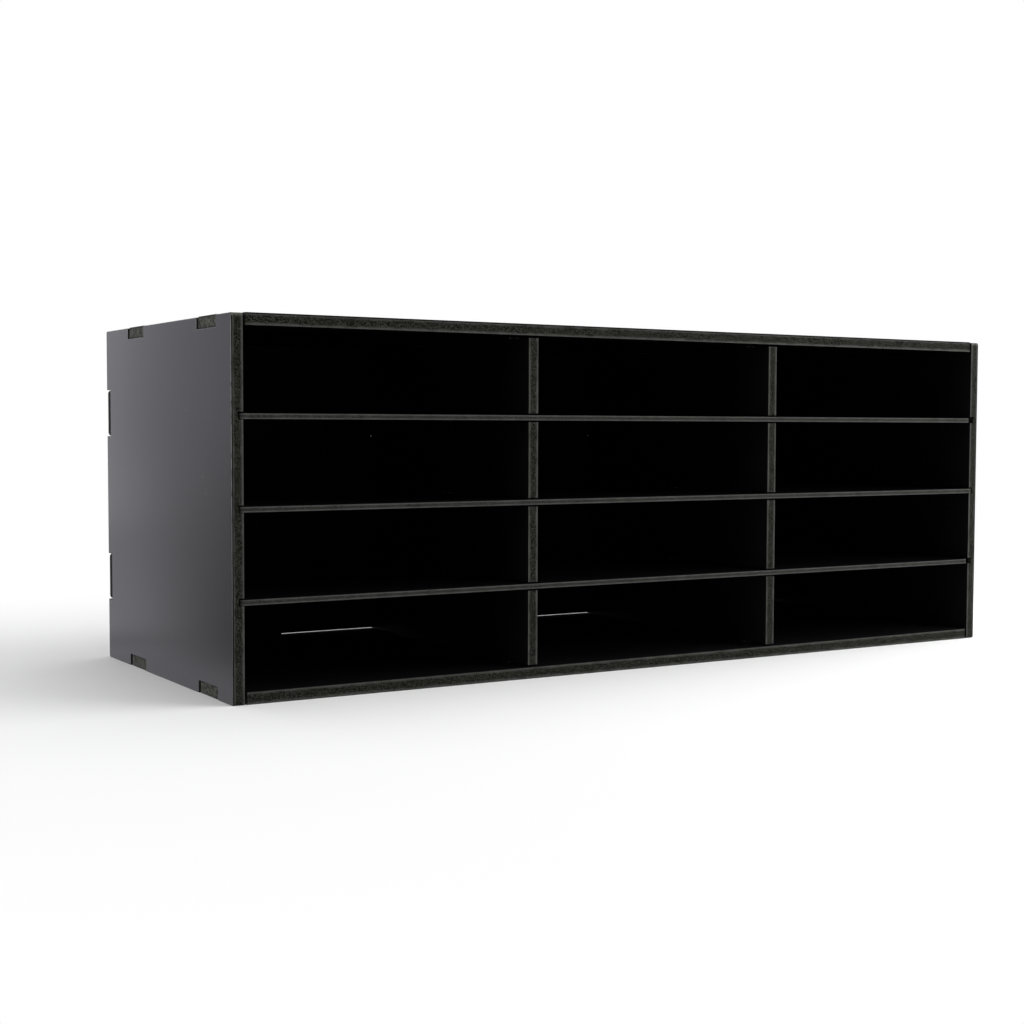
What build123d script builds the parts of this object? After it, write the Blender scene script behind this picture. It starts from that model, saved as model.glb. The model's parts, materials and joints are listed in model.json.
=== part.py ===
"""Desktop document organizer: a flat-pack case of tabbed boards with slide-in shelves and two dividers.

Millimetres, +Z up. The origin is the middle of the footprint, on the surface that the case stands on.
X runs along the width, and the open front faces -Y.
"""

import os

from build123d import *

# Overall size
overall_width = 800.0
overall_depth = 308.0
overall_height = 300.0

# Boards
board_thickness = 10.0  # sides, top, bottom, back and dividers
shelf_thickness = 5.0
middle_bay_width = 251.0  # clear width between the two dividers
top_board_proud = 0.5  # top board above the upper edges of the side boards
side_corner_radius = 2.0  # corners of the side boards

# Tabs, and the notches and mortises that hold them
tab_length = 41.6
tab_play = 0.2  # each end of a tab to the end of its notch or mortise
tab_recess = 0.9  # tab end to the face that it comes through
tab_corner_radius = 3.0  # corners at the free end of a tab
tab_face_fit = 0.2  # each face of a divider tab to the wall of its mortise
shoulder_gap = 1.7  # board between its tabs to the board that it is tabbed into
back_head_gap = 0.2  # back board to the top board, which it is pushed up against
back_side_gap = 0.2  # each end of the back board to the side board there
notch_lip_radius = 1.0  # corners at the mouth of a notch
cutter_radius = 0.9  # inner corners left by the cutter, where the fit has room for them
front_tab_station = 53.0  # tab middle behind the front edges of the case
rear_tab_station = 225.0
back_tab_rise = 150.0  # between the two tabs at each end of the back board
back_tab_pitch = 253.5  # between the tabs along the upper and lower edges of the back board

# Shelves, their grooves in the side boards and their cross laps with the dividers
shelf_names = ("lower_shelf", "middle_shelf", "upper_shelf")
groove_depth = 4.6
groove_play = 0.8  # shelf to the upper wall of its groove
shelf_end_gap = 1.5  # each end of a shelf to the floor of its groove
shelf_rear_gap = 0.5  # rear edge of a shelf to the back board
divider_slot_play = 1.1  # above and below a shelf in a divider slot
shelf_slot_play = 1.0  # each side of a divider in a shelf slot
lap_play = 1.0  # end of each slot past the middle of the shelf
shelf_left_radius = 3.5  # left front corner
shelf_right_radius = 8.5  # right front corner, rounded more
square_corner_shelf = "middle_shelf"  # its right front corner is left square

# Countersunk screws through the tabs
screw_length = 28.0
screw_diameter = 3.0
screw_head_diameter = 5.5
screw_head_angle = 90.0
screw_head_rim = 0.2  # straight edge of the head above its cone
screw_head_sink = 0.3  # head below the face of its tab
screw_tip_length = 3.0
screw_fit = 0.05  # radial, in its hole
back_screw_shift = 10.0  # from the middle of a tab at the end of the back board, clear of the grooves
driver_slot_length = 3.4
driver_slot_width = 0.8
driver_slot_depth = 1.1

# Places worked out from the values above
outer_x = overall_width / 2
inner_x = outer_x - board_thickness
front_y = -overall_depth / 2
rear_y = overall_depth / 2
back_face_y = rear_y - board_thickness
ceiling_z = overall_height - board_thickness
middle_z = overall_height / 2
side_height = overall_height - top_board_proud
divider_x = (middle_bay_width + board_thickness) / 2
bay_depth = back_face_y - front_y
bay_middle_y = (front_y + back_face_y) / 2

notch_length = tab_length + 2 * tab_play
notch_corner_radius = min(cutter_radius, tab_play)
slot_corner_radius = min(cutter_radius, lap_play)
mortise_width = board_thickness + 2 * tab_face_fit
tab_ys = [front_y + front_tab_station, front_y + rear_tab_station]
back_tab_zs = [middle_z - back_tab_rise / 2, middle_z + back_tab_rise / 2]
back_tab_xs = [-back_tab_pitch, 0.0, back_tab_pitch]
back_low_z = board_thickness + shoulder_gap
back_high_z = ceiling_z - back_head_gap

clear_height = (ceiling_z - board_thickness - len(shelf_names) * shelf_thickness) / (len(shelf_names) + 1)
shelf_rise = clear_height + shelf_thickness
shelf_zs = [board_thickness + clear_height + n * shelf_rise for n in range(len(shelf_names))]
groove_height = shelf_thickness + groove_play
groove_floor_x = inner_x + groove_depth
shelf_depth = bay_depth - shelf_rear_gap
shelf_length = 2 * (groove_floor_x - shelf_end_gap)
shelf_rear_y = front_y + shelf_depth
divider_slot_height = shelf_thickness + 2 * divider_slot_play
divider_slot_depth = shelf_depth / 2 + lap_play
shelf_slot_width = board_thickness + 2 * shelf_slot_play
shelf_slot_depth = shelf_depth / 2 + lap_play

screw_radius = screw_diameter / 2
screw_hole_radius = screw_radius + screw_fit
screw_head_radius = screw_head_diameter / 2
sink_radius = screw_head_radius + screw_head_rim + screw_head_sink + screw_fit
screw_hole_depth = screw_length + screw_head_sink + screw_fit
screw_x = inner_x + board_thickness / 2
screw_z = ceiling_z + board_thickness / 2

# Screw seats: a plane on the face of each tab, whose normal points out of the case
top_seats = [
    Plane(origin=(x, y, overall_height), z_dir=(0, 0, 1)) for x in (-screw_x, screw_x) for y in tab_ys
]
bottom_seats = [Plane(origin=(x, y, 0), z_dir=(0, 0, -1)) for x in (-screw_x, screw_x) for y in tab_ys]
back_seats = [
    Plane(origin=(x, rear_y, z), z_dir=(0, 1, 0))
    for x in (-screw_x, screw_x)
    for z in (back_tab_zs[0] - back_screw_shift, back_tab_zs[1] + back_screw_shift)
] + [
    Plane(origin=(x, rear_y, z), z_dir=(0, 1, 0)) for x in back_tab_xs for z in (overall_height - screw_z, screw_z)
]


def cut_screw_holes(seats):
    """Countersunk hole at each seat, as deep as the screw that goes in there."""
    with Locations(*seats):
        CounterSinkHole(screw_hole_radius, sink_radius, screw_hole_depth, screw_head_angle)


def write(builder, name):
    """Label a finished piece and write it."""
    builder.part.label = name
    export_step(builder.part, f"parts/{name}.step")


os.makedirs("parts", exist_ok=True)

# Left side board: notched at the top, bottom and rear, and grooved on the inside for the shelves
with BuildPart() as left_side:
    with BuildSketch(Plane.YZ.offset(-outer_x)) as side_outline:
        with Locations((0, side_height / 2)):
            RectangleRounded(overall_depth, side_height, side_corner_radius)
        with Locations(*[(y, side_height) for y in tab_ys]):
            RectangleRounded(notch_length, 2 * (side_height - ceiling_z), notch_corner_radius, mode=Mode.SUBTRACT)
        with Locations(*[(y, 0) for y in tab_ys]):
            RectangleRounded(notch_length, 2 * board_thickness, notch_corner_radius, mode=Mode.SUBTRACT)
        with Locations(*[(rear_y, z) for z in back_tab_zs]):
            RectangleRounded(2 * board_thickness, notch_length, notch_corner_radius, mode=Mode.SUBTRACT)
        corners = side_outline.vertices()
        lower_lips = corners.group_by(Axis.Y)[0].sort_by(Axis.X)[1:-1]
        upper_lips = corners.group_by(Axis.Y)[-1].sort_by(Axis.X)[1:-1]
        rear_lips = corners.group_by(Axis.X)[-1].sort_by(Axis.Y)[1:-1]
        fillet(lower_lips + upper_lips + rear_lips, notch_lip_radius)
    extrude(amount=board_thickness)
    with Locations(*[(-inner_x, bay_middle_y, z + groove_height / 2) for z in shelf_zs]):
        Box(2 * groove_depth, bay_depth, groove_height, mode=Mode.SUBTRACT)
    cut_screw_holes([seat for seat in top_seats + bottom_seats + back_seats if seat.origin.X < -inner_x])
write(left_side, "left_side")

with BuildPart() as right_side:
    mirror(left_side.part, about=Plane.YZ)
write(right_side, "right_side")

# Top board: a tab at each side notch, notches for the back board, and mortises for the dividers
with BuildPart() as top_board:
    with BuildSketch(Plane.XY.offset(ceiling_z)) as top_outline:
        Rectangle(2 * (inner_x - shoulder_gap), overall_depth)
        with Locations(*[(0, y) for y in tab_ys]):
            RectangleRounded(2 * (outer_x - tab_recess), tab_length, tab_corner_radius)
        with Locations(*[(x, rear_y) for x in back_tab_xs]):
            RectangleRounded(notch_length, 2 * board_thickness, notch_corner_radius, mode=Mode.SUBTRACT)
        fillet(top_outline.vertices().group_by(Axis.Y)[-1].sort_by(Axis.X)[1:-1], notch_lip_radius)
        with Locations(*[(x, y) for x in (-divider_x, divider_x) for y in tab_ys]):
            RectangleRounded(mortise_width, notch_length, notch_corner_radius, mode=Mode.SUBTRACT)
    extrude(amount=board_thickness)
    cut_screw_holes(top_seats)
    cut_screw_holes([seat for seat in back_seats if seat.origin.Z > ceiling_z])
write(top_board, "top_board")

with BuildPart() as bottom_board:
    mirror(top_board.part, about=Plane.XY.offset(middle_z))
write(bottom_board, "bottom_board")

# Back board: tabs on all four edges, and mortises for the dividers
with BuildPart() as back_board:
    with BuildSketch(Plane.XZ.offset(-rear_y)):
        with Locations((0, (back_low_z + back_high_z) / 2)):
            Rectangle(2 * (inner_x - back_side_gap), back_high_z - back_low_z)
        with Locations(*[(0, z) for z in back_tab_zs]):
            RectangleRounded(2 * (outer_x - tab_recess), tab_length, tab_corner_radius)
        with Locations(*[(x, middle_z) for x in back_tab_xs]):
            RectangleRounded(tab_length, overall_height - 2 * tab_recess, tab_corner_radius)
        with Locations(*[(x, z) for x in (-divider_x, divider_x) for z in back_tab_zs]):
            RectangleRounded(mortise_width, notch_length, notch_corner_radius, mode=Mode.SUBTRACT)
    extrude(amount=board_thickness)
    cut_screw_holes(back_seats)
write(back_board, "back_board")

# Dividers: tabbed into the top, bottom and back, standing on the lower tabs, and slotted from the front
for divider_name, x in (("left_divider", -divider_x), ("right_divider", divider_x)):
    with BuildPart() as divider:
        with BuildSketch(Plane.YZ.offset(x - board_thickness / 2)):
            with Locations((bay_middle_y, middle_z)):
                Rectangle(bay_depth, ceiling_z - board_thickness - 2 * shoulder_gap)
            with Locations(*[(y, 0) for y in tab_ys]):
                RectangleRounded(
                    tab_length,
                    overall_height - tab_recess,
                    tab_corner_radius,
                    align=(Align.CENTER, Align.MIN),
                )
            with Locations(*[(bay_middle_y, z) for z in back_tab_zs]):
                RectangleRounded(
                    bay_depth / 2 + board_thickness - tab_recess,
                    tab_length,
                    tab_corner_radius,
                    align=(Align.MIN, Align.CENTER),
                )
            with Locations(*[(front_y, z + shelf_thickness / 2) for z in shelf_zs]):
                RectangleRounded(
                    2 * divider_slot_depth, divider_slot_height, slot_corner_radius, mode=Mode.SUBTRACT
                )
        extrude(amount=board_thickness)
    write(divider, divider_name)

# Shelves: slotted from the rear to lap the dividers, with eased front corners
for shelf_name, z in zip(shelf_names, shelf_zs):
    with BuildPart() as shelf:
        with BuildSketch(Plane.XY.offset(z)) as shelf_outline:
            with Locations((0, front_y + shelf_depth / 2)):
                Rectangle(shelf_length, shelf_depth)
            fillet(shelf_outline.vertices().group_by(Axis.Y)[0].sort_by(Axis.X)[0], shelf_left_radius)
            if shelf_name != square_corner_shelf:
                fillet(shelf_outline.vertices().group_by(Axis.Y)[0].sort_by(Axis.X)[-1], shelf_right_radius)
            with Locations((-divider_x, shelf_rear_y), (divider_x, shelf_rear_y)):
                RectangleRounded(shelf_slot_width, 2 * shelf_slot_depth, slot_corner_radius, mode=Mode.SUBTRACT)
        extrude(amount=shelf_thickness)
    write(shelf, shelf_name)

# Screw: head face in its plane's origin, shank pointing down
with BuildPart() as screw:
    with BuildSketch(Plane.XZ):
        with BuildLine():
            cone_height = screw_head_radius - screw_radius
            Polyline(
                (0, 0),
                (screw_head_radius, 0),
                (screw_head_radius, -screw_head_rim),
                (screw_radius, -screw_head_rim - cone_height),
                (screw_radius, screw_tip_length - screw_length),
                (0, -screw_length),
                close=True,
            )
        make_face()
    revolve(axis=Axis.Z)
    with BuildSketch(Plane.XY):
        Rectangle(driver_slot_length, driver_slot_width)
        Rectangle(driver_slot_width, driver_slot_length)
    extrude(amount=-driver_slot_depth, mode=Mode.SUBTRACT)

for screws_name, seats in (
    ("top_screws", top_seats),
    ("bottom_screws", bottom_seats),
    ("back_screws", back_seats),
):
    with BuildPart() as screws:
        with Locations(*[seat.offset(-screw_head_sink) for seat in seats]):
            add(screw.part)
    write(screws, screws_name)
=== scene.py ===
import json
import math

import bmesh
import bpy
from mathutils import Euler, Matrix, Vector


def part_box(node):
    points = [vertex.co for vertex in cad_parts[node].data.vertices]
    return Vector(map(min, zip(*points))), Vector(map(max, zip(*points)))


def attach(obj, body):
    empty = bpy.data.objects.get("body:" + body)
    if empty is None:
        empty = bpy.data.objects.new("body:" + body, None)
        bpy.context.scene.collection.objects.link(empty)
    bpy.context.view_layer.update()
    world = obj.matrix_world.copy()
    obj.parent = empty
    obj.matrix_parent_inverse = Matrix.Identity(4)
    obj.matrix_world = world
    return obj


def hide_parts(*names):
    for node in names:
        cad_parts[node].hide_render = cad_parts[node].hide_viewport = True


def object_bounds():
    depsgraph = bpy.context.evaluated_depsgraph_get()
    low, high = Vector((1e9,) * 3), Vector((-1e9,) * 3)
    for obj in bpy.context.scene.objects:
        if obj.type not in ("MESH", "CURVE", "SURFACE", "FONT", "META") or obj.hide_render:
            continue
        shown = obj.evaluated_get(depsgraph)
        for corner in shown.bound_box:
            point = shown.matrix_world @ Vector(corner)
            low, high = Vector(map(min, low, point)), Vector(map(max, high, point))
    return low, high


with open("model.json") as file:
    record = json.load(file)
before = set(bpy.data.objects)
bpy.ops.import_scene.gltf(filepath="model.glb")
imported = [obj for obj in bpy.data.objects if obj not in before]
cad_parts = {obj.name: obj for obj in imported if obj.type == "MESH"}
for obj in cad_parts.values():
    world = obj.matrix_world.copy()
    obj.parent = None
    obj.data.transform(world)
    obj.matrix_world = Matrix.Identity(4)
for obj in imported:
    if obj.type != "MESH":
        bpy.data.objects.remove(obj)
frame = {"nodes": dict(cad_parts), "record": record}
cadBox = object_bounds()
millimetre = 0.001
white = (1.0, 1.0, 1.0)
noiseSpan = (0.3, 0.7)   # most values of a noise lie in it


# shader helpers: an input takes a plain value or another node's socket
def feed(tree, socket, value):
    if isinstance(value, bpy.types.NodeSocket):
        tree.links.new(value, socket)
    elif socket.type == "RGBA":
        socket.default_value = (*value, 1.0)
    else:
        socket.default_value = value


def feedAll(tree, node, values):
    for key, value in values.items():
        feed(tree, node.inputs[key], value)


def addNode(tree, kind, values=None, **settings):
    made = tree.nodes.new(kind)
    for key, value in settings.items():
        setattr(made, key, value)
    feedAll(tree, made, values or {})
    return made


def grain(tree, place, scale, detail, rough=0.55):  # noise centred on 0.5
    made = addNode(tree, "ShaderNodeTexNoise",
                   {"Vector": place, "Scale": scale, "Detail": detail, "Roughness": rough})
    return made.outputs["Fac"]


def cellular(tree, place, scale):  # distance from the middle of a cell, and a colour for each cell
    return addNode(tree, "ShaderNodeTexVoronoi", {"Vector": place, "Scale": scale}, feature="F1").outputs


def ramp(tree, value, low, high, outLow=0.0, outHigh=1.0, smooth=True):
    made = addNode(tree, "ShaderNodeMapRange",
                   {"Value": value, "From Min": low, "From Max": high, "To Min": outLow, "To Max": outHigh},
                   interpolation_type="SMOOTHSTEP" if smooth else "LINEAR")
    return made.outputs["Result"]


def sums(tree, operation, first, second=0.0, third=0.0, clamp=False):
    made = addNode(tree, "ShaderNodeMath", {0: first, 1: second, 2: third},
                   operation=operation, use_clamp=clamp)
    return made.outputs["Value"]


def vectorSums(tree, operation, first, second=(0.0, 0.0, 0.0)):
    return addNode(tree, "ShaderNodeVectorMath", {0: first, 1: second}, operation=operation).outputs


def along(tree, vector, axis):
    return addNode(tree, "ShaderNodeSeparateXYZ", {"Vector": vector}).outputs[axis]


def tint(tree, factor, low, high):  # colour from low to high
    made = addNode(tree, "ShaderNodeMix", {"Factor": factor}, data_type="RGBA")
    lowSocket, highSocket = [s for s in made.inputs if s.type == "RGBA"]
    feed(tree, lowSocket, low)
    feed(tree, highSocket, high)
    return [s for s in made.outputs if s.type == "RGBA"][0]


def blend(tree, factor, first, second):  # from one shader to another
    return addNode(tree, "ShaderNodeMixShader", {"Fac": factor, 1: first, 2: second}).outputs["Shader"]


def relief(tree, height, strength, depth):
    made = addNode(tree, "ShaderNodeBump", {"Height": height, "Strength": strength, "Distance": depth})
    return made.outputs["Normal"]


def nearOuter(tree, coords, axis, reach, turned=None):  # 1 by the outer faces of the case along an axis
    limit = cadBox[1]["XYZ".index(axis)]
    out = sums(tree, "ABSOLUTE", along(tree, coords["Object"], axis))
    near = ramp(tree, out, limit - reach, limit - reach / 2)
    if turned is None:
        return near
    facing = sums(tree, "ABSOLUTE", along(tree, coords["Normal"], axis))   # and by its turn to them
    return sums(tree, "MULTIPLY", near, ramp(tree, facing, *turned))


def newFinish(name):
    made = bpy.data.materials.new(name)
    made.use_nodes = True
    tree = made.node_tree
    tree.nodes.clear()
    shader = addNode(tree, "ShaderNodeBsdfPrincipled")
    addNode(tree, "ShaderNodeOutputMaterial", {"Surface": shader.outputs["BSDF"]})
    return made, tree, shader, addNode(tree, "ShaderNodeTexCoord").outputs


# black extruded skin on the faces of the boards
skinLook = {
    "name": "boardSkin",
    "colour": (0.0036, 0.0036, 0.0042),
    "paleColour": (0.0052, 0.0052, 0.0060),
    "clouds": {"scale": 4.0, "detail": 4.0},   # slow change of tone and sheen along the sheet
    "roughness": (0.20, 0.24),
    "ior": 1.46,
    "specular": 0.5,
    "peel": {"scale": 1150.0, "detail": 2.0, "rough": 0.6},   # fine matt texture, about 0.9 mm
    "peelRelief": {"strength": 0.5, "depth": 0.035 * millimetre},
    "scuffStretch": (6.0, 60.0, 420.0),
    "scuffTurn": (0.35, 0.5, 0.2),
    "scuffs": {"scale": 1.0, "detail": 3.0},
    "scuffSpan": (0.66, 0.78),
    "scuffColour": (0.05, 0.05, 0.053),
    "scuffShare": 0.06,
    "scuffDulling": 0.05,
    "speckScale": 62.0,            # one cell of 16 mm, few of them hold a speck of dust
    "speckChance": (0.76, 0.78),
    "speckSpan": (0.026, 0.0572),  # of a cell, from the middle of a speck to its end
    "speckColour": (0.12, 0.12, 0.122),
}
shelfSkinLook = {   # shelves, hardly any dust on them
    **skinLook,
    "name": "shelfSkin",
    "speckColour": (0.012, 0.012, 0.013),
}
baySkinLook = {     # the fixed faces inside the bays, duller
    **shelfSkinLook,
    "name": "baySkin",
    "roughness": (0.42, 0.50),
    "specular": 0.2,
}


def makeSkin(look):
    made, tree, shader, coords = newFinish(look["name"])
    place = coords["Object"]
    clouds = grain(tree, place, **look["clouds"])
    stretched = addNode(tree, "ShaderNodeMapping",
                        {"Vector": place, "Scale": look["scuffStretch"], "Rotation": look["scuffTurn"]})
    scuffs = ramp(tree, grain(tree, stretched.outputs["Vector"], **look["scuffs"]), *look["scuffSpan"])
    cells = cellular(tree, place, look["speckScale"])
    draw = addNode(tree, "ShaderNodeSeparateColor", {"Color": cells["Color"]}).outputs["Red"]
    chosen = ramp(tree, draw, *look["speckChance"], smooth=False)
    speck = sums(tree, "MULTIPLY", chosen, ramp(tree, cells["Distance"], *look["speckSpan"], 1.0, 0.0))
    base = tint(tree, clouds, look["colour"], look["paleColour"])
    wearAndPaintedHighlight = tint(tree, sums(tree, "MULTIPLY", scuffs, look["scuffShare"]), base, look["scuffColour"])
    sheen = ramp(tree, clouds, *noiseSpan, *look["roughness"])
    feedAll(tree, shader, {
        "Base Color": tint(tree, speck, wearAndPaintedHighlight, look["speckColour"]),
        "Roughness": sums(tree, "MULTIPLY_ADD", scuffs, look["scuffDulling"], sheen),
        "Normal": relief(tree, grain(tree, place, **look["peel"]), **look["peelRelief"]),
        "IOR": look["ior"],
        "Specular IOR Level": look["specular"],
    })
    return made


# sawn edges: a dull foamed core between two lines of dense skin
caseEdgeLook = {
    "name": "caseBoardEdge",
    "core": (0.0020, 0.0022, 0.0013),
    "coreGrain": (0.0350, 0.0357, 0.0285),
    "grains": {"scale": 1250.0, "detail": 3.0, "rough": 0.75},   # under 1 mm
    "speckle": (0.475, 0.555),
    "skinLine": (0.0710, 0.0710, 0.0660),
    "lineSpan": (0.46, 0.95),               # from the middle of the board, 0, to its skin, 1
    "wander": {"scale": 90.0, "detail": 3.0},
    "wanderSpan": (0.25, 0.75, -0.16, 0.16),
    "shadeRimReach": 1.5 * millimetre,           # painted shade: dark rim along the outer faces of the case
    "shadeRimTurned": (0.5, 0.8, 1.0, 0.0),      # on the faces that turn away from them
    "cellScale": 900.0,
    "pitSpan": (0.1, 0.6),
    "pitRelief": {"strength": 0.8, "depth": 0.10 * millimetre},
    "roughness": (0.62, 0.85),
    "specular": 0.1,
}
sideEdgeLook = {    # side boards, with a painted highlight in patches on their rounded upper corners, where the light from above catches them
    **caseEdgeLook,
    "name": "sideBoardEdge",
    "cornerReach": 3.6 * millimetre,
    "cornerPaintedHighlight": (0.104, 0.104, 0.094),
    "cornerPatches": (0.36, 0.52),
}
shelfEdgeLook = {
    **caseEdgeLook,
    "name": "shelfEdge",
    "core": (0.0125, 0.0129, 0.0108),
    "coreGrain": (0.0390, 0.0396, 0.0348),
    "skinLine": (0.0800, 0.0800, 0.0763),
    "lineSpan": (0.25, 0.90),
    "pitRelief": {"strength": 0.8, "depth": 0.06 * millimetre},
}
tabEndWithPaintedLightLook = {      # end grain of the tabs, coarser; paler as painted sheen of the white surround at grazing angles, and dark along its two faces as painted shade of the gaps in the notches
    **caseEdgeLook,
    "name": "tabEnd",
    "core": (0.0190, 0.0195, 0.0150),
    # painted sheen: the paler grain stands in for the white surround mirrored at grazing angles
    "coreGrain": (0.1210, 0.1220, 0.1025),
    "grains": {**caseEdgeLook["grains"], "scale": 420.0},
    "speckle": (0.46, 0.55),
    # painted shade: the dark skin line stands in for the shaded gaps of the notches
    "skinLine": (0.0050, 0.0050, 0.0045),
    "lineSpan": (0.78, 1.0),
    "specular": 0.2,
}


def makeEdge(look):
    made, tree, shader, coords = newFinish(look["name"])
    place = coords["Object"]
    across = addNode(tree, "ShaderNodeAttribute", attribute_name="across").outputs["Fac"]
    toSkin = sums(tree, "ABSOLUTE", across)
    wander = ramp(tree, grain(tree, place, **look["wander"]), *look["wanderSpan"], smooth=False)
    line = ramp(tree, sums(tree, "ADD", toSkin, wander), *look["lineSpan"], smooth=False)
    grains = grain(tree, place, **look["grains"])
    core = tint(tree, ramp(tree, grains, *look["speckle"]), look["core"], look["coreGrain"])
    edge = tint(tree, line, core, look["skinLine"])
    # painted shade: a thin rim next to the outer faces of the case, on faces turned away from them, takes the
    # dark core colour
    paintedShadeRims = [nearOuter(tree, coords, axis, look["shadeRimReach"], look["shadeRimTurned"]) for axis in "XZ"]
    shade = tint(tree, sums(tree, "MAXIMUM", *paintedShadeRims), edge, look["core"])
    # painted highlight: pale patches on the rounded upper corners of the side boards
    if "cornerReach" in look:
        ends = [nearOuter(tree, coords, axis, look["cornerReach"]) for axis in "YZ"]
        patches = ramp(tree, grains, *look["cornerPatches"])
        paintedHighlight = sums(tree, "MULTIPLY", sums(tree, "MULTIPLY", *ends), patches)
        shade = tint(tree, paintedHighlight, shade, look["cornerPaintedHighlight"])
    pits = ramp(tree, cellular(tree, place, look["cellScale"])["Distance"], *look["pitSpan"])
    foam = sums(tree, "SUBTRACT", 1.0, line, clamp=True)   # no pits in the skin
    feedAll(tree, shader, {
        "Base Color": shade,
        "Roughness": ramp(tree, grains, *noiseSpan, *look["roughness"]),
        "Normal": relief(tree, sums(tree, "MULTIPLY", pits, foam), **look["pitRelief"]),
        "Specular IOR Level": look["specular"],
    })
    return made


# screws: black coated steel, rubbed where the driver turns
screwLook = {
    "name": "screwCoat",
    "coat": (0.014, 0.014, 0.015),
    "bare": (0.22, 0.22, 0.21),
    "wear": {"scale": 1400.0, "detail": 3.0},
    "rubSpan": (0.60, 0.72),
    "wearRelief": {"strength": 0.3, "depth": 0.04 * millimetre},
    "roughness": (0.32, 0.5),
    "metallic": 0.8,
}


def makeScrewFinish(look):
    made, tree, shader, coords = newFinish(look["name"])
    wear = grain(tree, coords["Object"], **look["wear"])
    feedAll(tree, shader, {
        "Base Color": tint(tree, ramp(tree, wear, *look["rubSpan"]), look["coat"], look["bare"]),
        "Roughness": ramp(tree, wear, *noiseSpan, *look["roughness"]),
        "Normal": relief(tree, wear, **look["wearRelief"]),
        "Metallic": look["metallic"],
    })
    return made


# arrises: dark skin inside the bays; on the outer corners a painted highlight in patches, standing in for the
# bright surround mirrored in the rounded arris
arrisLook = {
    "name": "arrisWithPaintedHighlight",
    "paintedHighlight": (0.290, 0.290, 0.295),
    "kept": (0.0045, 0.0045, 0.0048),
    "patches": {"scale": 160.0, "detail": 4.0, "rough": 0.65},
    "patchSpan": (0.30, 0.58, 0.25, 1.0),
    "outerReach": 0.8 * millimetre,   # how far the painted highlight reaches in from the side faces of the case
    "turned": (0.5, 0.65),            # only the part of an arris that turns to the side gets the painted highlight
    "fade": (0.02, 0.22, 0.35, 1.0),  # less of the painted highlight towards the floor
    "roughness": 0.6,
    "specular": 0.05,
}


def makeArris(look):
    made, tree, shader, coords = newFinish(look["name"])
    place = coords["Object"]
    patches = ramp(tree, grain(tree, place, **look["patches"]), *look["patchSpan"])
    fade = ramp(tree, along(tree, place, "Z"), *look["fade"])
    # painted highlight: pale where the arris turns to the side faces of the case, fading towards the floor,
    # broken into patches
    wearAndPaintedHighlight = sums(tree, "MULTIPLY", nearOuter(tree, coords, "X", look["outerReach"], look["turned"]), fade)
    feedAll(tree, shader, {
        "Base Color": tint(tree, sums(tree, "MULTIPLY", wearAndPaintedHighlight, patches), look["kept"], look["paintedHighlight"]),
        "Roughness": look["roughness"],
        "Specular IOR Level": look["specular"],
    })
    return made


boardSkin = makeSkin(skinLook)
shelfSkin = makeSkin(shelfSkinLook)
baySkin = makeSkin(baySkinLook)
arrisWithPaintedHighlight = makeArris(arrisLook)
caseEdge = makeEdge(caseEdgeLook)
shelfEdge = makeEdge(shelfEdgeLook)
sideEdge = makeEdge(sideEdgeLook)
tabEnd = makeEdge(tabEndWithPaintedLightLook)
screwFinish = makeScrewFinish(screwLook)
print("finishes made")


# boards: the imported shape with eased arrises, skin on its two faces and foam on every cut
boardDress = {
    "weld": 0.002 * millimetre,
    "flatWithin": math.radians(0.5),  # facets that turn less than this are one face
    "arris": 0.45 * millimetre,
    "arrisSteps": 3,
    "arrisProfile": 0.5,              # round
    "sharpFrom": math.radians(35.0),
    "skinReach": 0.02 * millimetre,   # a face this near the plane of the skin lies on it
    "skinTurn": 0.99,                 # how far a face turns to that plane's normal, 1 for all the way
    "arrisSlack": 1.05,               # an arris ends within this many times its size
    "arrisTurn": 0.2,
    "outerReach": 1.0 * millimetre,   # a face this near the box of the case is on its outside
    "tabReach": 3.0 * millimetre,     # a cut this near the side of the case is a tab's end
    "tabTurn": 0.9,
    "tabBoards": ("top_board", "bottom_board"),
    "sideBoards": ("left_side", "right_side"),
}
slotOfNode = {s["node"]: s["material_slot"] for s in frame["record"]["subparts"]}
bodyOfNode = {node: body for body, nodes in frame["record"]["behaviour"]["bodies"].items() for node in nodes}


def easedShape(node, dress):
    shape = bmesh.new()
    shape.from_mesh(frame["nodes"][node].data)
    bmesh.ops.remove_doubles(shape, verts=shape.verts, dist=dress["weld"])
    bmesh.ops.dissolve_limit(shape, angle_limit=dress["flatWithin"], verts=shape.verts, edges=shape.edges)
    sharp = [e for e in shape.edges if e.is_convex and e.calc_face_angle(0.0) > dress["sharpFrom"]]
    bmesh.ops.bevel(shape, geom=sharp, offset=dress["arris"], segments=dress["arrisSteps"],
                    profile=dress["arrisProfile"], affect="EDGES", clamp_overlap=False)
    shape.normal_update()
    return shape


def finishesOf(node, dress):
    if bodyOfNode[node] != "case":
        skin, edge = shelfSkin, shelfEdge
    else:
        skin, edge = boardSkin, sideEdge if node in dress["sideBoards"] else caseEdge
    return {"skin": skin, "edge": edge, "arris": arrisWithPaintedHighlight, "tabEnd": tabEnd, "baySkin": baySkin}


def finishOfFace(face, node, thin, middle, half, dress):
    depth = max(half - abs(v.co[thin] - middle) for v in face.verts)   # below the skin, at its deepest corner
    turn = abs(face.normal[thin])
    if depth < dress["skinReach"] and turn > dress["skinTurn"]:
        toOutside = min(abs(face.verts[0].co[thin] - side[thin]) for side in cadBox)
        inBay = bodyOfNode[node] == "case" and toOutside >= dress["outerReach"]
        return "baySkin" if inBay else "skin"
    if depth < dress["arris"] * dress["arrisSlack"] and turn > dress["arrisTurn"]:
        return "arris"
    toSide = cadBox[1].x - abs(face.calc_center_median().x)
    if node in dress["tabBoards"] and abs(face.normal.x) > dress["tabTurn"] and toSide < dress["tabReach"]:
        return "tabEnd"
    return "edge"


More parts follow.
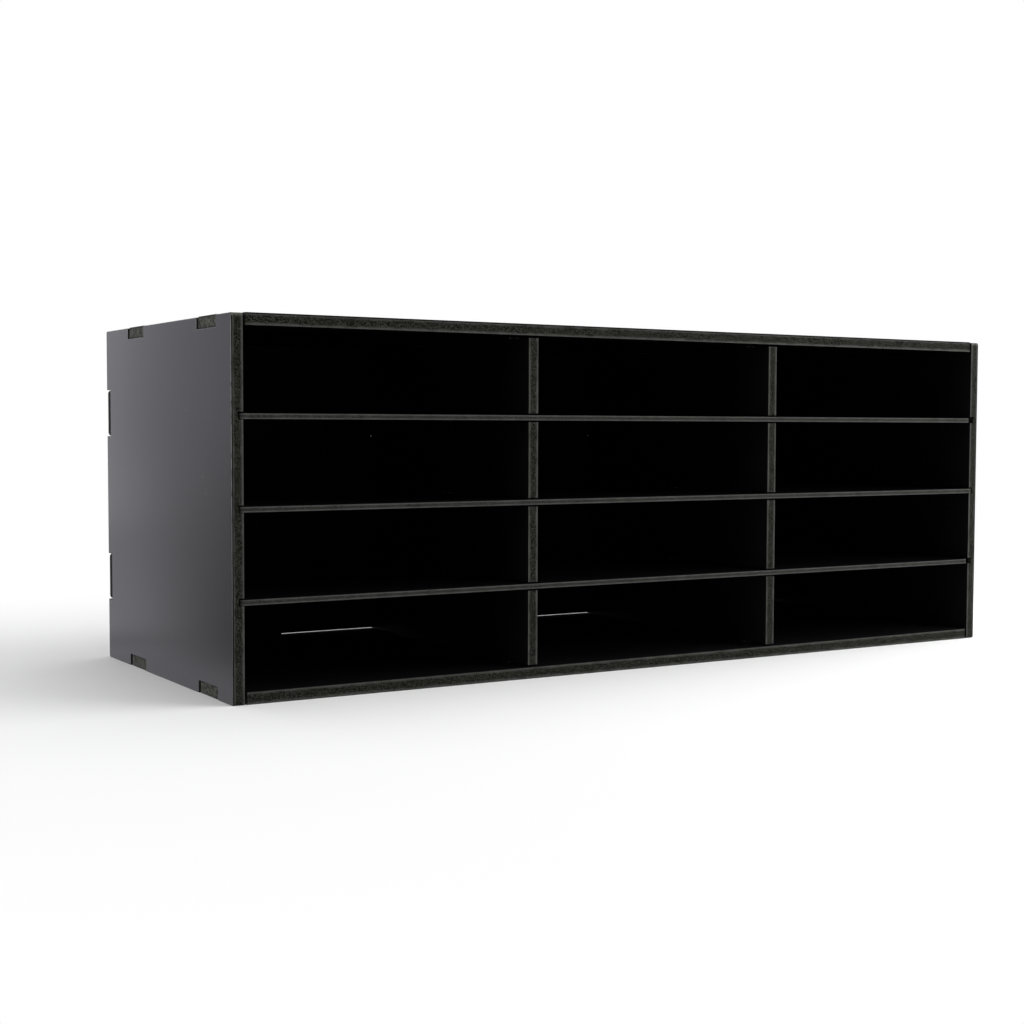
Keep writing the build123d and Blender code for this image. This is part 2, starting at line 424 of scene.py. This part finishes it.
def dressBoard(node, dress):
    low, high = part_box(node)
    size = high - low
    thin = min(range(3), key=lambda k: size[k])   # the axis across the board
    middle, half = (low[thin] + high[thin]) / 2, size[thin] / 2
    shape = easedShape(node, dress)
    finishes = finishesOf(node, dress)
    order = list(finishes)
    for face in shape.faces:
        face.material_index = order.index(finishOfFace(face, node, thin, middle, half, dress))
    mesh = bpy.data.meshes.new(node + "_dressed")
    shape.to_mesh(mesh)
    shape.free()
    if "custom_normal" in mesh.attributes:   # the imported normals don't fit the eased arrises
        mesh.attributes.remove(mesh.attributes["custom_normal"])
    mesh.shade_flat()
    for finish in finishes.values():
        mesh.materials.append(finish)
    across = mesh.attributes.new("across", "FLOAT", "POINT")
    across.data.foreach_set("value", [(v.co[thin] - middle) / half for v in mesh.vertices])
    piece = bpy.data.objects.new(node + "_dressed", mesh)
    bpy.context.scene.collection.objects.link(piece)
    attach(piece, bodyOfNode[node])
    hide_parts(node)
    return piece


for node, slotName in slotOfNode.items():
    if slotName in ("case_board", "shelf_board"):
        dressed = dressBoard(node, boardDress)
        print("board", node, "faces", len(dressed.data.polygons))

for node, slotName in slotOfNode.items():
    if slotName == "black_screw":
        screws = frame["nodes"][node]
        screws.data.materials.clear()
        screws.data.materials.append(screwFinish)
print("screws finished")


# stage: pale floor that shows glossy rays a painted reflection, white surround, soft lamps
floorLook = {
    "half": 14.0,
    "colour": (0.90, 0.90, 0.90),
    "roughness": 0.9,
    "whiteSpan": (0.02, 0.60),     # metres from the case, where the lit floor passes into white
    "paintedMirrorFoot": (0.54, 0.535, 0.585),  # painted reflection, as the boards mirror it: painted light, pale at their foot
    "contactSpan": (0.03, 0.14),
    "paintedMirrorShade": (0.165, 0.164, 0.180),    # painted shade in that reflection, beside and before the case
    "paintedMirrorBehind": (0.82, 0.813, 0.88),
    "behindSpan": (0.05, 0.45),
    "leftLine": 2.87,              # slope of the line from the painted shade to the pale, which leaves the left side
    "leftSpan": (-0.31, 0.21),
}


def makeFloor(look):
    half = look["half"]
    corners = [(-half, -half, 0), (half, -half, 0), (half, half, 0), (-half, half, 0)]
    mesh = bpy.data.meshes.new("floor")
    mesh.from_pydata(corners, [], [(0, 1, 2, 3)])
    made, tree, shader, coords = newFinish("floorPaint")
    path = addNode(tree, "ShaderNodeLightPath").outputs
    place = coords["Object"]
    spread = vectorSums(tree, "ABSOLUTE", place)["Vector"]
    beside = vectorSums(tree, "SUBTRACT", spread, (cadBox[1].x, cadBox[1].y, 0.0))["Vector"]
    reach = vectorSums(tree, "LENGTH", vectorSums(tree, "MAXIMUM", beside)["Vector"])["Value"]
    back = along(tree, place, "Y")
    slope = look["leftLine"]
    aside = sums(tree, "MULTIPLY_ADD", along(tree, place, "X"), slope, slope * cadBox[1].x)
    pastLine = ramp(tree, sums(tree, "ADD", aside, back), *look["leftSpan"])
    pale = sums(tree, "MINIMUM", ramp(tree, back, *look["behindSpan"]), pastLine)
    away = tint(tree, pale, look["paintedMirrorShade"], look["paintedMirrorBehind"])
    foot = tint(tree, pale, look["paintedMirrorFoot"], look["paintedMirrorBehind"])
    mirrored = tint(tree, ramp(tree, reach, *look["contactSpan"]), foot, away)
    feedAll(tree, shader, {"Base Color": look["colour"], "Roughness": look["roughness"],
                           "Specular IOR Level": 0.0})
    farSeen = sums(tree, "MULTIPLY", ramp(tree, reach, *look["whiteSpan"]), path["Is Camera Ray"])
    farWhite = addNode(tree, "ShaderNodeEmission", {"Color": white, "Strength": 1.0}).outputs["Emission"]
    lit = blend(tree, farSeen, shader.outputs["BSDF"], farWhite)
    # painted reflection: to glossy rays the floor glows with these tones instead of showing its lit colour
    glow = addNode(tree, "ShaderNodeEmission", {"Color": mirrored, "Strength": 1.0}).outputs["Emission"]
    output = [n for n in tree.nodes if n.type == "OUTPUT_MATERIAL"][0]
    feed(tree, output.inputs["Surface"], blend(tree, path["Is Glossy Ray"], lit, glow))
    mesh.materials.append(made)
    floor = bpy.data.objects.new("floor", mesh)
    bpy.context.scene.collection.objects.link(floor)


worldLook = {
    "ambient": 0.30,
    "surround": (0.62, 0.615, 0.685),   # as the boards mirror it
    "leftShade": (0.32, 0.317, 0.35),   # the surround darkens towards the left
    "leftSpan": (-0.75, -0.10),
    "rightCard": (0.03, 0.03, 0.03),    # dark card on the right, behind the case
    "rightSpan": (0.10, 0.30),
    "roomBehindCamera": (0.02, 0.02, 0.02),
    "roomSpan": (-0.20, 0.30),
}


def makeWorld(look):
    world = bpy.data.worlds.new("studio")
    world.use_nodes = True
    tree = world.node_tree
    tree.nodes.clear()
    path = addNode(tree, "ShaderNodeLightPath").outputs
    direction = addNode(tree, "ShaderNodeTexCoord").outputs["Generated"]
    toRight, toBack = along(tree, direction, "X"), along(tree, direction, "Y")
    leftward = tint(tree, ramp(tree, toRight, *look["leftSpan"]), look["leftShade"], look["surround"])
    sides = tint(tree, ramp(tree, toRight, *look["rightSpan"]), leftward, look["rightCard"])
    around = tint(tree, ramp(tree, toBack, *look["roomSpan"]), look["roomBehindCamera"], sides)
    shown = tint(tree, path["Is Glossy Ray"], white, around)
    backdrop = addNode(tree, "ShaderNodeBackground", {"Color": shown, "Strength": 1.0})
    ambient = addNode(tree, "ShaderNodeBackground", {"Color": white, "Strength": look["ambient"]})
    seenRay = sums(tree, "MAXIMUM", path["Is Camera Ray"], path["Is Glossy Ray"])
    seenRay = sums(tree, "MAXIMUM", seenRay, path["Is Transmission Ray"])
    mixed = blend(tree, seenRay, ambient.outputs["Background"], backdrop.outputs["Background"])
    addNode(tree, "ShaderNodeOutputWorld", {"Surface": mixed})
    bpy.context.scene.world = world


lampLook = {
    "overhead": {"place": (0.1, 0.0, 2.3), "size": (3.0, 2.4), "power": 32.0},
    "frontRight": {"place": (1.2, -0.7, 0.60), "size": (1.8, 1.1), "power": 28.5, "mirrored": False},
    "backPanel": {"place": (-0.4, 0.95, 0.60), "size": (0.6, 1.2), "power": 1.5,
                  "colour": (0.95, 0.945, 1.0), "aim": (-0.4, 0.0, 0.15)},
    "leftFill": {"place": (-2.0, -0.5, 1.0), "size": (1.0, 0.8), "power": 9.0, "mirrored": False},
}


def makeLamp(name, look, middle):
    lamp = bpy.data.lights.new(name, "AREA")
    lamp.shape = "RECTANGLE"
    lamp.size, lamp.size_y = look["size"]
    lamp.energy = look["power"]
    lamp.color = look.get("colour", white)
    holder = bpy.data.objects.new(name, lamp)
    holder.location = look["place"]
    aim = Vector(look.get("aim", middle))
    holder.rotation_euler = (aim - Vector(look["place"])).to_track_quat("-Z", "Y").to_euler()
    holder.visible_camera = False
    holder.visible_glossy = look.get("mirrored", True)   # the glossy top would show some as white patches
    bpy.context.scene.collection.objects.link(holder)


makeFloor(floorLook)
makeWorld(worldLook)
for lampName, look in lampLook.items():
    makeLamp(lampName, look, (cadBox[0] + cadBox[1]) / 2)
print("stage set")


# camera, fitted to the edges of the case
cameraLook = {
    "place": Vector((-850.0, -1303.1, 214.4)) * millimetre,
    "heading": 31.297,  # degrees from +Y towards +X
    "pitch": -3.068,
    "roll": 0.174,
    "lens": 56.456,     # millimetres, as the sensor
    "sensor": 36.0,
}


def makeCamera(look):
    camera = bpy.data.cameras.new("camera")
    camera.sensor_width = look["sensor"]
    camera.lens = look["lens"]
    holder = bpy.data.objects.new("camera", camera)
    holder.location = look["place"]
    turn = Euler((math.radians(90.0 + look["pitch"]), 0.0, math.radians(-look["heading"])), "XYZ").to_matrix()
    roll = Euler((0.0, 0.0, math.radians(look["roll"])), "XYZ").to_matrix()
    holder.rotation_euler = (turn @ roll).to_euler()
    bpy.context.scene.collection.objects.link(holder)
    bpy.context.scene.camera = holder


makeCamera(cameraLook)
bpy.context.scene.view_settings.view_transform = "Standard"
print("camera placed")
